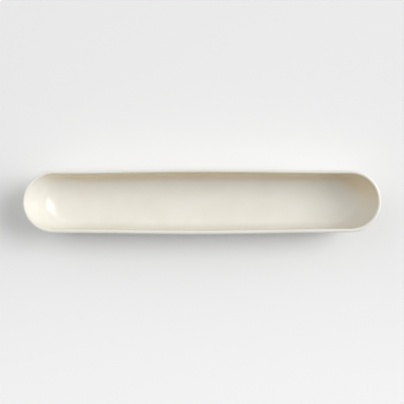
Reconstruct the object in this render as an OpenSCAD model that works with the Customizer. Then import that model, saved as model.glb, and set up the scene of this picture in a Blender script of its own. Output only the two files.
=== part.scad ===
// Olive dish: a long, narrow, deep dish of glazed stoneware.
// The plan is an obround whose long sides bow out a little. Every level of the dish is a ring of that
// plan, and the rings are lofted: steep walls, a cove, a flat floor and ends that scoop up more gently
// than the sides. The clay carries a glaze coat that stops above a dry foot ring.
// +X runs along the dish, +Z is up, and the origin lies under the middle, on the surface it stands on.

/* [Plan] */
// Length over the lip
dish_l = 319; // [220:1:420]
// Width over the lip near the ends
end_w = 55.4; // [44:0.2:72]
// How far each long side bows out at the middle
side_bow = 1.4; // [0:0.1:4]

/* [Section] */
// Height from the table to the top of the lip
dish_h = 38; // [30:0.5:55]
// Thickness of the wall and the lip, glaze included
wall_t = 3.3; // [2.2:0.1:5]
// Thickness of the floor, glaze included
floor_t = 3.2; // [2.4:0.1:6]
// How flat the floor is across the dish: higher is flatter
floor_flat = 6.5; // [3:0.1:8]
// How tight the cove between floor and wall is: higher is tighter
cove_tight = 5.2; // [2:0.1:6]
// Extra length that the floor takes to rise into the cove at each end
end_scoop = 50; // [0:1:60]
// How far each end wall leans out between floor and lip
end_lean = 12; // [0:1:20]

/* [Foot] */
// Half width of the foot ring's outer edge
foot_out = 18.5; // [14:0.5:20]
// Width of the foot ring's dry sole
foot_w = 3; // [2:0.1:5]
// Height of the foot ring
foot_h = 1.4; // [1:0.1:3]
// Chamfer on the foot ring's edges
foot_edge = 0.5; // [0.2:0.1:0.8]

/* [Glaze] */
// Thickness of the glaze
glaze_t = 0.35; // [0.2:0.05:0.6]
// Bare band of clay between the glaze line and the foot ring
glaze_stop = 1.2; // [0.5:0.1:3]

/* [Hidden] */

cream = [0.93, 0.91, 0.84];
buff = [0.80, 0.72, 0.60];

// Steps along one long side, round one end, from the floor to the lip, and over the lip
side_steps = 12;
end_steps = 24;
wall_steps = 10;
lip_steps = 6;

end_r = end_w / 2;
end_x = dish_l / 2 - end_r;
inner_r = end_r - wall_t;
lip_r = wall_t / 2;
lip_z = dish_h - lip_r;
floor_z = foot_h + floor_t;
foot_in = foot_out - foot_w;
// The floor is taken as flat inside this share of its half width
flat_share = 0.4;
// Spacing of the rings: they crowd together towards the steep top of the wall
crowding = 1.8;
// Rings of the wall keep this share clear of the ring at the glaze line
ring_gap = 0.01;

// One level of the dish: half width at the ends, how far the end centres move in, height
function level(w, pull, z) = [w, pull, z];

// Points of one level, anticlockwise from above
function half_width(x, centre, w) = w * (1 + side_bow / end_r * pow(cos(90 * x / centre), 2));
function ring(lv) =
    let (w = lv[0], centre = end_x - lv[1], z = lv[2])
    concat(
        [for (i = [0:side_steps])
            let (x = centre * (2 * i / side_steps - 1)) [x, -half_width(x, centre, w), z]],
        [for (i = [1:end_steps - 1])
            let (a = 180 * i / end_steps - 90) [centre + w * cos(a), w * sin(a), z]],
        [for (i = [0:side_steps])
            let (x = centre * (1 - 2 * i / side_steps)) [x, half_width(x, centre, w), z]],
        [for (i = [1:end_steps - 1])
            let (a = 180 * i / end_steps + 90) [-centre + w * cos(a), w * sin(a), z]]
    );

// Share of the half width at a step up the wall, and the rise of floor, cove and wall at that share
function share(i) = 1 - (1 - flat_share) * pow(1 - i / wall_steps, crowding);
function rise(q) = 1 - pow(1 - pow(q, floor_flat), 1 / cove_tight);
function pull(q) = end_scoop * (1 - q) + end_lean * (1 - rise(q));

// Inner and outer faces at one share, sunk under the glaze by a depth
function inside(q, sunk) =
    let (low = floor_z - sunk) level(inner_r * q + sunk, pull(q), low + (lip_z - low) * rise(q));
function outside(q, sunk) =
    let (low = foot_h + sunk)
    level(inner_r * q + wall_t - sunk, pull(q), low + (lip_z - low) * rise(q));
function lip(i, sunk) =
    let (a = 180 - 180 * i / lip_steps, r = lip_r - sunk)
    level(end_r - lip_r + r * cos(a), 0, lip_z + r * sin(a));

// Share at which the outer face of the clay reaches a given half width
function share_at(w) = (w - wall_t + glaze_t) / inner_r;
foot_share = share_at(foot_out);
stop_share = share_at(foot_out + glaze_stop);

// Levels from the middle of the floor, over the lip and down the outside to a last share
function shell_levels(sunk, last) = concat(
    [for (i = [0:wall_steps - 1]) inside(share(i), sunk)],
    [for (i = [0:lip_steps]) lip(i, sunk)],
    [for (i = [wall_steps - 1:-1:0]) if (share(i) > last + ring_gap) outside(share(i), sunk)],
    [outside(last, sunk)]
);

// Levels of the foot ring and the recess inside it
foot_pull = pull(foot_share);
foot_levels = [
    level(foot_out, foot_pull, foot_edge),
    level(foot_out - foot_edge, foot_pull, 0),
    level(foot_in + foot_edge, foot_pull, 0),
    level(foot_in, foot_pull, foot_edge),
    level(foot_in - foot_edge, foot_pull, foot_h)
];

// The two triangles of a four-cornered patch, split along its shorter diagonal
function patch(p, a, b, c, d) =
    norm(p[a] - p[c]) < norm(p[b] - p[d]) ? [[a, b, c], [a, c, d]] : [[a, b, d], [b, c, d]];

function reversed(list) = [for (i = [len(list) - 1:-1:0]) list[i]];

// Flat cap of a ring: strips that join each point to its mirror image across the dish
ring_n = 2 * (side_steps + end_steps);
function across(j) = (2 * side_steps + end_steps - j + ring_n) % ring_n;
function strip(j) =
    let (a = (j + ring_n) % ring_n, b = (a + 1) % ring_n, c = across(b), d = across(a))
    a == d ? [a, b, c] : b == c ? [a, b, d] : [a, b, c, d];
cap = [for (j = [-end_steps / 2:side_steps + end_steps / 2 - 1]) strip(j)];

// Solid skin over a run of levels, closed by a flat cap on its first and its last level
module loft(levels) {
    points = [for (lv = levels) each ring(lv)];
    last = len(points) - ring_n;
    polyhedron(
        points = points,
        faces = concat(
            [for (face = cap) reversed(face)],
            [for (k = [0:ring_n:last - ring_n], j = [0:ring_n - 1])
                let (low = k, high = k + ring_n, next = (j + 1) % ring_n)
                each patch(points, low + j, low + next, high + next, high + j)],
            [for (face = cap) [for (j = face) last + j]]
        ),
        convexity = 6
    );
}

// Fired body: floor, wall, lip and the dry foot ring
module clay_body() {
    color(buff)
        loft(concat(shell_levels(glaze_t, stop_share), [outside(foot_share, glaze_t)], foot_levels));
}

// Glaze over the inside, the lip and the outside, down to the glaze line
module glaze_coat() {
    color(cream)
        loft(concat(shell_levels(0, stop_share), reversed(shell_levels(glaze_t, stop_share))));
}

// Patch of glaze on the underside, inside the foot ring
module base_glaze() {
    edge_w = foot_in - foot_edge - glaze_stop;
    color(cream)
        loft([level(edge_w, foot_pull, foot_h), level(edge_w - glaze_t, foot_pull, foot_h - glaze_t)]);
}

clay_body();
glaze_coat();
base_glaze();
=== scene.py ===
# Olive dish: a long narrow trough of cream glazed stoneware, seen from above on a pale table.
from math import cos, pi, radians, sin, tan

import bmesh
import bpy
from mathutils import Matrix, Quaternion, Vector


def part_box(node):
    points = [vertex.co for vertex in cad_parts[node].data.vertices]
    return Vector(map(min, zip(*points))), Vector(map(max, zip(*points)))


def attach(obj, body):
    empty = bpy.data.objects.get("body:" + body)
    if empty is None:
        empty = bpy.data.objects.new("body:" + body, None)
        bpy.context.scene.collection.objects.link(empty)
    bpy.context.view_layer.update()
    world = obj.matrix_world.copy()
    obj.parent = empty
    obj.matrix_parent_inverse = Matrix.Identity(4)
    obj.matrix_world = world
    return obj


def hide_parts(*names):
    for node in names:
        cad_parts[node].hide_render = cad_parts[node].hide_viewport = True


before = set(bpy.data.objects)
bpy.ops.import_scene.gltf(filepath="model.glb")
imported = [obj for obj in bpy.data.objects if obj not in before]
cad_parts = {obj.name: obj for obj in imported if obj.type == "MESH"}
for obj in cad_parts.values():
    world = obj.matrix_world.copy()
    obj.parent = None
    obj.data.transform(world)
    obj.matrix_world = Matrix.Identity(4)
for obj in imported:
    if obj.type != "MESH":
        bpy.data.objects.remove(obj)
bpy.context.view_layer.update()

MM = 0.001

# Outside sizes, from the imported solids
glaze_low, glaze_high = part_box("glaze_coat")
DISH_L = glaze_high.x - glaze_low.x
DISH_W = glaze_high.y - glaze_low.y
DISH_H = glaze_high.z

# Plan and section of the trough
SIDE_BOW = 1.4 * MM
WALL_T = 3.3 * MM
FLOOR_T = 3.2 * MM
FLOOR_FLAT = 6.5
COVE_TIGHT = 5.2
END_SCOOP = 50 * MM
END_LEAN = 12 * MM
END_R = DISH_W / 2 - SIDE_BOW
END_X = DISH_L / 2 - END_R
INNER_R = END_R - WALL_T
LIP_R = WALL_T / 2
LIP_Z = DISH_H - LIP_R

# Foot ring and glaze
FOOT_OUT = 18.5 * MM
FOOT_W = 3 * MM
FOOT_H = 1.4 * MM
FOOT_EDGE = 0.5 * MM
FOOT_IN = FOOT_OUT - FOOT_W
FLOOR_Z = FOOT_H + FLOOR_T
GLAZE_T = 0.35 * MM
GLAZE_STOP = 1.2 * MM
# Share of the half width over which the glaze line rolls down to the clay
ROLL_SHARE = 0.02

# Painted tan shade on the inner walls that face away from the lamp: the way a wall faces where it
# is strongest, values of that facing from none to full tan, the rise above the floor by which it
# has set in, and its most
TAN_FACING = Vector((-0.55, -0.835, 0.0))
TAN_FROM, TAN_TO = 0.12, 1.02
TAN_RISE = 0.03
TAN_MOST = 0.82
# Painted warm shade up the inner walls, none at the lit left end: values of facing left, from none
# to full warm shade, and what reaches the lip
WARM_FROM, WARM_TO = -0.9, 0.3
LIP_WARM_SHADE = 0.1

# Steps of the section, the lip, a quarter of an end, half a side, and a small rounded edge
SECTION_STEPS = 24
LIP_STEPS = 12
END_STEPS = 20
SIDE_STEPS = 22
EDGE_STEPS = 4
# Points closer than this are one point
SAME_POINT = 0.001 * MM


# The half section: points of (half width, height, how far the end centres move in, painted warm
# shade)

def rise(share):
    """Height of the floor, the cove and the wall at a share of the half width, from 0 to 1."""
    return 1 - (1 - share ** FLOOR_FLAT) ** (1 / COVE_TIGHT)


def end_pull(share):
    """How far the end centres move in for the scoop and the lean of the ends."""
    return END_SCOOP * (1 - share) + END_LEAN * (1 - rise(share))


def inner_face(share, sunk):
    low = FLOOR_Z - sunk
    up = rise(share)
    half_width = INNER_R * share + sunk if share > 0 else 0.0
    return half_width, low + (LIP_Z - low) * up, end_pull(share), up


def outer_face(share, sunk):
    low = FOOT_H + sunk
    half_width = INNER_R * share + WALL_T - sunk
    return half_width, low + (LIP_Z - low) * rise(share), end_pull(share), 0.0


def foot_face(half_width, height):
    return half_width, height, FOOT_PULL, 0.0


def outer_share(half_width):
    """Share at which the outside of the clay has a half width."""
    return (half_width - WALL_T + GLAZE_T) / INNER_R


FOOT_SHARE = outer_share(FOOT_OUT)
GLAZE_SHARE = outer_share(FOOT_OUT + GLAZE_STOP)
FOOT_PULL = end_pull(FOOT_SHARE)


def section_shares():
    """Shares from the middle of the floor to the wall, close together where the section turns."""
    turns = [pi / 4 * (1 - cos(pi * i / SECTION_STEPS)) for i in range(SECTION_STEPS)]
    return [sin(turn) ** (2 / FLOOR_FLAT) for turn in turns]


def lip_round(sunk):
    """Half a circle over the top of the wall, from its inner to its outer face."""
    middle = END_R - LIP_R
    radius = LIP_R - sunk
    points = []
    for i in range(LIP_STEPS + 1):
        turn = pi - pi * i / LIP_STEPS
        # Painted warm shade on the inner half of the lip
        inner_side = max(0.0, -LIP_WARM_SHADE * cos(turn))
        points.append((middle + radius * cos(turn), LIP_Z + radius * sin(turn), 0.0, inner_side))
    return points


def skin(sunk, last):
    """Section of the dish from the middle of the floor, over the lip and down the outside."""
    shares = section_shares()
    low_end = last + ROLL_SHARE / 2
    inside = [inner_face(share, sunk) for share in shares]
    outside = [outer_face(share, sunk) for share in reversed(shares) if share > low_end]
    return inside + lip_round(sunk) + outside


def quarter_turn():
    """Cosines and sines of a quarter turn, for a small rounded edge."""
    turns = [pi / 2 * i / EDGE_STEPS for i in range(EDGE_STEPS + 1)]
    return [(cos(turn), sin(turn)) for turn in turns]


def clay_section():
    """Floor, wall and lip under the glaze, the dry foot ring and the recess inside it."""
    wall = skin(GLAZE_T, GLAZE_SHARE)
    wall += [outer_face(share, GLAZE_T) for share in (GLAZE_SHARE, FOOT_SHARE)]
    edge = FOOT_EDGE
    sole_out = FOOT_OUT - edge
    sole_in = FOOT_IN + edge
    hollow = FOOT_H - edge
    turn = quarter_turn()
    outer_edge = [foot_face(sole_out + edge * c, edge * (1 - s)) for c, s in turn]
    inner_edge = [foot_face(sole_in - edge * s, edge * (1 - c)) for c, s in turn]
    cove = [foot_face(FOOT_IN - edge * (1 - c), hollow + edge * s) for c, s in turn]
    return wall + outer_edge + inner_edge + cove + [foot_face(0.0, FOOT_H)]


def glaze_section():
    """The coat over the clay, with a rolled edge at the glaze line."""
    roll = [
        outer_face(GLAZE_SHARE + ROLL_SHARE * (1 - s), GLAZE_T * (1 - c))
        for c, s in quarter_turn()
    ]
    return skin(0.0, GLAZE_SHARE + ROLL_SHARE) + roll + skin(GLAZE_T, GLAZE_SHARE)[::-1]


def base_section():
    """The patch of glaze inside the foot ring, with a rolled edge."""
    edge = FOOT_IN - FOOT_EDGE - GLAZE_STOP
    roll = [foot_face(edge - GLAZE_T * (1 - c), FOOT_H - GLAZE_T * s) for c, s in quarter_turn()]
    return [foot_face(0.0, FOOT_H)] + roll + [foot_face(0.0, FOOT_H - GLAZE_T)]


# Pieces

def draw_in(point, pull):
    """Moves a point of the straight dish for the leaning ends and the bowed sides."""
    centre = END_X - pull
    along = abs(point.x)
    if along < END_X:
        x = along * centre / END_X
        y = point.y * (1 + SIDE_BOW / END_R * cos(pi / 2 * x / centre) ** 2)
    else:
        x = centre + along - END_X
        y = point.y
    return Vector((x if point.x > 0 else -x, y, point.z))


def eased(value, start, end):
    """Runs smoothly from 0 at the start to 1 at the end."""
    share = min(1.0, max(0.0, (value - start) / (end - start)))
    return share * share * (3 - 2 * share)


def tan_shade_share(facing, painted_warm_shade):
    """How much painted tan shade: on the inner walls that face the near left, away from the lamp.
    """
    turned = eased(facing.dot(TAN_FACING), TAN_FROM, TAN_TO)
    return TAN_MOST * turned * eased(painted_warm_shade, 0.0, TAN_RISE)


def warm_shade_share(facing, painted_warm_shade):
    """How much painted warm shade: up the inner walls, but not at the left end, where the lamp
    shines in.
    """
    return painted_warm_shade * eased(-facing.x, WARM_FROM, WARM_TO)


def sweep_dish(section):
    """Turns a half section round one end, runs it to the middle, and mirrors it both ways."""
    mesh = bmesh.new()
    pull = mesh.verts.layers.float.new("pull")
    painted_warm_shade = mesh.verts.layers.float.new("painted_warm_shade")
    painted_tan_shade = mesh.verts.layers.float.new("painted_tan_shade")
    chain = []
    for half_width, height, moved, section_shade in section:
        corner = mesh.verts.new((0.0, -half_width, height))
        corner[pull] = moved
        corner[painted_warm_shade] = section_shade
        chain.append(corner)
    edges = [mesh.edges.new(pair) for pair in zip(chain, chain[1:])]
    upright = {"cent": (0.0, 0.0, 0.0), "axis": (0.0, 0.0, 1.0)}
    bmesh.ops.spin(mesh, geom=chain + edges, angle=pi / 2, steps=END_STEPS, **upright)
    step = (-END_X / SIDE_STEPS, 0.0, 0.0)
    bmesh.ops.spin(mesh, geom=chain + edges, dvec=step, angle=0.0, steps=SIDE_STEPS, **upright)
    bmesh.ops.translate(mesh, verts=mesh.verts[:], vec=(END_X, 0.0, 0.0))
    for side in "XY":
        half = mesh.verts[:] + mesh.edges[:] + mesh.faces[:]
        bmesh.ops.mirror(mesh, geom=half, matrix=Matrix(), merge_dist=SAME_POINT, axis=side)
    bmesh.ops.remove_doubles(mesh, verts=mesh.verts[:], dist=SAME_POINT)
    for point in mesh.verts:
        point.co = draw_in(point.co, point[pull])
    bmesh.ops.recalc_face_normals(mesh, faces=mesh.faces[:])
    mesh.normal_update()
    # Painted shade: tan on the walls facing away from the lamp, warmth up the walls but not at the
    # lit left end
    for point in mesh.verts:
        point[painted_tan_shade] = tan_shade_share(point.normal, point[painted_warm_shade])
        point[painted_warm_shade] = warm_shade_share(point.normal, point[painted_warm_shade])
    return mesh


def add_object(name, mesh, finish):
    data = bpy.data.meshes.new(name)
    mesh.to_mesh(data)
    mesh.free()
    data.materials.append(finish)
    item = bpy.data.objects.new(name, data)
    bpy.context.scene.collection.objects.link(item)
    return item


def dish_piece(name, section, finish, node):
    """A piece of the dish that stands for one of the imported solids."""
    piece = add_object(name, sweep_dish(section), finish)
    piece.data.shade_smooth()
    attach(piece, "root")
    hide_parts(node)


# Finishes

class Socket:
    """An output of a node, with the sums that the finishes are mixed by."""

    def __init__(self, shader, output):
        self.shader = shader
        self.output = output

    def maths(self, operation, first, second):
        settings = {"operation": operation}
        return self.shader.add("ShaderNodeMath", settings, {0: first, 1: second})

    def __add__(self, other):
        return self.maths("ADD", self, other)

    def __mul__(self, other):
        return self.maths("MULTIPLY", self, other)

    def __pow__(self, other):
        return self.maths("POWER", self, other)

    def __rpow__(self, other):
        return self.maths("POWER", other, self)

    __radd__ = __add__
    __rmul__ = __mul__

    def at_least(self, other):
        return self.maths("MAXIMUM", self, other)


class Shader:
    """The node tree of a finish or of the room."""

    def __init__(self, tree):
        self.tree = tree

    def feed(self, node, sockets):
        """Links or sets the sockets of a node."""
        for name, value in sockets.items():
            if isinstance(value, Socket):
                self.tree.links.new(value.output, node.inputs[name])
            else:
                node.inputs[name].default_value = value

    def add(self, kind, settings, sockets, output=0):
        node = self.tree.nodes.new(kind)
        for name, value in settings.items():
            setattr(node, name, value)
        self.feed(node, sockets)
        return Socket(self, node.outputs[output])

    def place(self):
        return self.add("ShaderNodeTexCoord", {}, {}, "Object")

    def tint(self, name):
        return self.add("ShaderNodeAttribute", {"attribute_name": name}, {}, "Fac")

    def noise(self, scale, detail, roughness=0.5):
        sockets = {"Vector": self.place(), "Scale": scale}
        sockets |= {"Detail": detail, "Roughness": roughness}
        return self.add("ShaderNodeTexNoise", {}, sockets, "Fac")

    def ramp(self, value, start, end, low=0.0, high=1.0):
        """Runs smoothly from low to high while the value runs from start to end."""
        settings = {"interpolation_type": "SMOOTHSTEP"}
        sockets = {"Value": value, "From Min": start, "From Max": end}
        sockets |= {"To Min": low, "To Max": high}
        return self.add("ShaderNodeMapRange", settings, sockets)

    def blend(self, mask, first, second):
        settings = {"data_type": "RGBA", "blend_type": "MIX"}
        return self.add("ShaderNodeMix", settings, {0: mask, 6: first, 7: second}, 2)

    def bump(self, height, strength, distance):
        sockets = {"Strength": strength, "Distance": distance, "Height": height}
        return self.add("ShaderNodeBump", {}, sockets, "Normal")

    def seen_directly(self):
        """1 for a look from the camera or from a glossy or clear surface, and 0 for light."""
        camera, glossy, clear = [
            self.add("ShaderNodeLightPath", {}, {}, kind)
            for kind in ("Is Camera Ray", "Is Glossy Ray", "Is Transmission Ray")
        ]
        return camera + glossy + clear


ROOM_WHITE = (1.0, 1.0, 1.0, 1.0)


def new_finish(name):
    material = bpy.data.materials.new(name)
    material.use_nodes = True
    surface = material.node_tree.nodes["Principled BSDF"]
    return material, Shader(material.node_tree), surface


def cream_glaze():
    """Glossy cream glaze: faint clouding, painted warm shade up the inner walls, painted tan shade
    on the walls facing away from the lamp.
    """
    material, shader, surface = new_finish("cream_glaze")
    cream = (0.846, 0.831, 0.771, 1.0)
    clouded = (0.806, 0.787, 0.708, 1.0)
    warm_shade_cream = (0.830, 0.795, 0.700, 1.0)
    tan_shade_colour = (0.850, 0.705, 0.480, 1.0)
    clouds = shader.ramp(shader.noise(scale=55.0, detail=3.0), start=0.35, end=0.75)
    grain = shader.noise(scale=900.0, detail=2.0)
    body = shader.blend(clouds * 0.6 + grain * 0.25, cream, clouded)
    # Painted warm shade up the inner walls, then painted tan shade on the walls facing away from
    # the lamp
    walls = shader.blend(shader.tint("painted_warm_shade"), body, warm_shade_cream)
    colour = shader.blend(shader.tint("painted_tan_shade"), walls, tan_shade_colour)
    drift = shader.noise(scale=120.0, detail=2.0)
    gloss = shader.ramp(drift, start=0.3, end=0.7, low=0.13, high=0.165)
    ripple = shader.noise(scale=95.0, detail=1.0)
    eggshell = shader.noise(scale=420.0, detail=1.0) + ripple * 2.0
    bump = shader.bump(eggshell, strength=0.05, distance=0.3 * MM)
    shader.feed(surface, {"Base Color": colour, "Roughness": gloss, "Normal": bump, "IOR": 1.5})
    return material


def fired_clay():
    """Dry buff stoneware: open grain and sparse iron specks."""
    material, shader, surface = new_finish("fired_clay")
    buff = (0.56, 0.46, 0.33, 1.0)
    pale_buff = (0.68, 0.59, 0.45, 1.0)
    iron = (0.23, 0.15, 0.09, 1.0)
    grain = shader.noise(scale=700.0, detail=4.0, roughness=0.65)
    drift = shader.noise(scale=60.0, detail=2.0)
    paler = shader.ramp(grain * 0.6 + drift * 0.4, start=0.35, end=0.65)
    body = shader.blend(paler, buff, pale_buff)
    cells = {"Vector": shader.place(), "Scale": 480.0}
    from_cell = shader.add("ShaderNodeTexVoronoi", {}, cells, "Distance")
    dots = shader.ramp(from_cell, start=0.10, end=0.22, low=1.0, high=0.0)
    sparse = shader.ramp(shader.noise(scale=210.0, detail=1.0), start=0.58, end=0.66)
    colour = shader.blend(dots * sparse * 0.8, body, iron)
    roughness = shader.ramp(grain, start=0.3, end=0.7, low=0.78, high=0.92)
    bump = shader.bump(grain, strength=0.35, distance=0.2 * MM)
    shader.feed(surface, {"Base Color": colour, "Roughness": roughness, "Normal": bump})
    return material


def pale_table():
    """Matt white table with painted light: a little paler towards its near side. It fades to white
    far away.
    """
    material, shader, surface = new_finish("pale_table")
    pale = (0.90, 0.90, 0.90, 1.0)
    paler = (0.99, 0.99, 0.99, 1.0)
    place = shader.place()
    across = shader.add("ShaderNodeSeparateXYZ", {}, {"Vector": place}, "Y")
    # Painted light: the table's colour turns paler towards its near side
    colour = shader.blend(shader.ramp(across, start=0.02, end=-0.22), pale, paler)
    shader.feed(surface, {"Base Color": colour, "Roughness": 0.9, "Specular IOR Level": 0.1})
    away = shader.add("ShaderNodeVectorMath", {"operation": "LENGTH"}, {0: place}, "Value")
    fade = shader.seen_directly() * shader.ramp(away, start=0.5, end=3.0)
    haze = shader.add("ShaderNodeEmission", {}, {"Color": ROOM_WHITE, "Strength": 1.0})
    matt = Socket(shader, surface.outputs["BSDF"])
    seen = shader.add("ShaderNodeMixShader", {}, {0: fade, 1: matt, 2: haze})
    shader.feed(material.node_tree.nodes["Material Output"], {"Surface": seen})
    return material


glaze = cream_glaze()
clay = fired_clay()
dish_piece("dish_clay", clay_section(), clay, "clay_body")
dish_piece("dish_glaze", glaze_section(), glaze, "glaze_coat")
dish_piece("dish_base_glaze", base_section(), glaze, "base_glaze")


# Table, light and camera

scene = bpy.context.scene

# The table reaches so far that its edge is lost in the white
TABLE_R = 40.0
disc = bmesh.new()
bmesh.ops.create_circle(disc, cap_ends=True, segments=64, radius=TABLE_R)
table = add_object("table", disc, pale_table())


def point_at(item, target, twist):
    """Turns the lamp or the camera to a target, and about its own line of sight by degrees."""
    aim = (target - item.location).to_track_quat("-Z", "Y")
    item.rotation_mode = "QUATERNION"
    item.rotation_quaternion = aim @ Quaternion((0.0, 0.0, 1.0), radians(twist))


# One large soft lamp, high to the right of the dish, whose mirror image is the slanted highlight
LAMP_DISTANCE = 8.0
LAMP_ZENITH = radians(49.0)
LAMP_AZIMUTH = radians(12.5)
LAMP_WIDTH, LAMP_LENGTH = 3.7, 5.2
LAMP_TWIST = -34.0
LAMP_WATTS = 288.0
lamp_data = bpy.data.lights.new("soft_lamp", "AREA")
lamp_data.shape = "RECTANGLE"
lamp_data.size = LAMP_WIDTH
lamp_data.size_y = LAMP_LENGTH
lamp_data.energy = LAMP_WATTS
lamp = bpy.data.objects.new("soft_lamp", lamp_data)
scene.collection.objects.link(lamp)
lamp.location = LAMP_DISTANCE * Vector((
    sin(LAMP_ZENITH) * cos(LAMP_AZIMUTH),
    sin(LAMP_ZENITH) * sin(LAMP_AZIMUTH),
    cos(LAMP_ZENITH),
))
point_at(lamp, Vector((0.0, 0.0, 0.0)), LAMP_TWIST)


def glow(shader, side, narrow, strength):
    """Soft light from one side of the room, fading with the cosine to a power."""
    way = shader.add("ShaderNodeTexCoord", {}, {}, "Generated")
    sockets = {0: way, 1: Vector(side).normalized()}
    cosine = shader.add("ShaderNodeVectorMath", {"operation": "DOT_PRODUCT"}, sockets, "Value")
    return cosine.at_least(0.0) ** narrow * strength


def lit_room():
    """Light from the bright sides of the room; eye and gloss see its white walls."""
    room = bpy.data.worlds.new("room")
    room.use_nodes = True
    shader = Shader(room.node_tree)
    right = glow(shader, (1.0, 0.1, 0.3), narrow=10.0, strength=2.95)
    left = glow(shader, (-0.6, 0.0, 0.8), narrow=8.0, strength=1.06)
    near = glow(shader, (0.0, -1.0, 0.35), narrow=3.0, strength=0.33)
    far_right = glow(shader, (1.0, 1.0, 1.0), narrow=6.0, strength=0.69)
    far_left = glow(shader, (-1.0, 1.0, 1.0), narrow=6.0, strength=1.07)
    light = right + left + near + far_right + far_left
    sockets = {0: shader.seen_directly(), 2: light, 3: 1.0}
    level = shader.add("ShaderNodeMix", {"data_type": "FLOAT"}, sockets)
    shader.feed(room.node_tree.nodes["Background"], {"Color": ROOM_WHITE, "Strength": level})
    return room


scene.world = lit_room()

# Camera over the dish, a little to the near side of straight down; the dish's share of the frame's
# width sets how far up it is
VIEW_TILT = radians(2.0)
VIEW_ANGLE = radians(30.2)
VIEW_TURN = -0.12
FRAME_PIXELS, DISH_PIXELS = 404, 359.8
VIEW_WIDTH = DISH_L * FRAME_PIXELS / DISH_PIXELS
VIEW_TARGET = Vector((0.2 * MM, -0.5 * MM, DISH_H))
SENSOR_WIDTH = 36.0
lens_reach = 1 / (2 * tan(VIEW_ANGLE / 2))
camera_data = bpy.data.cameras.new("camera")
camera_data.sensor_width = SENSOR_WIDTH
camera_data.lens = SENSOR_WIDTH * lens_reach
camera = bpy.data.objects.new("camera", camera_data)
scene.collection.objects.link(camera)
toward_camera = Vector((0.0, -sin(VIEW_TILT), cos(VIEW_TILT)))
camera.location = VIEW_TARGET + VIEW_WIDTH * lens_reach * toward_camera
point_at(camera, VIEW_TARGET, VIEW_TURN)
scene.camera = camera

scene.view_settings.view_transform = "Standard"
